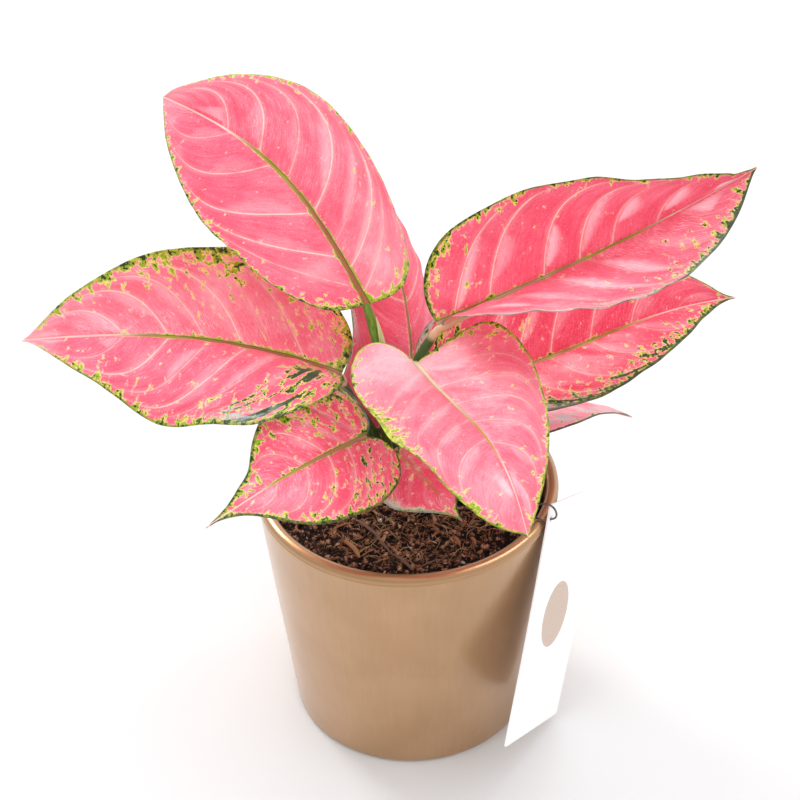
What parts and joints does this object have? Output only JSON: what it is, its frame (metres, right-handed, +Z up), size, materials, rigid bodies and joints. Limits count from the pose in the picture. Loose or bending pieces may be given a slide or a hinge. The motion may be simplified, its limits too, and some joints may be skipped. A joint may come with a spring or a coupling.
{
  "type": "potted chinese evergreen",
  "caption": "Houseplant with broad pink, green-margined leaves on short stalks, in a tapered metallic-glazed ceramic pot of soil with a card tag on a wire hook.",
  "frame": {"origin": "centre of the pot's flat underside", "axes": "+Z up along the pot's axis, -Y towards the side that the picture shows, +X to its right"},
  "size_m": [0.3182, 0.2029, 0.2994],
  "materials": {
    "pot_glaze": "satin gold-bronze glaze",
    "soil": "dark loose potting soil, matte",
    "stalk": "fresh green stem, slightly waxy",
    "leaf": "pink leaf with green margins, semi-gloss",
    "card": "matte white card",
    "wire": "thin dull grey wire"
  },
  "bodies": {
    "root": {"pot": "pot_glaze", "soil": "soil", "stems": "stalk", "leaf_top_left": "leaf", "leaf_left": "leaf", "leaf_lower_left": "leaf", "leaf_centre_front": "leaf", "leaf_upper_right": "leaf", "leaf_middle_right": "leaf", "leaf_low_right": "leaf", "leaf_back": "leaf", "leaf_low_front": "leaf", "tag_card": "card", "tag_wire": "wire"}
  },
  "joints": []
}
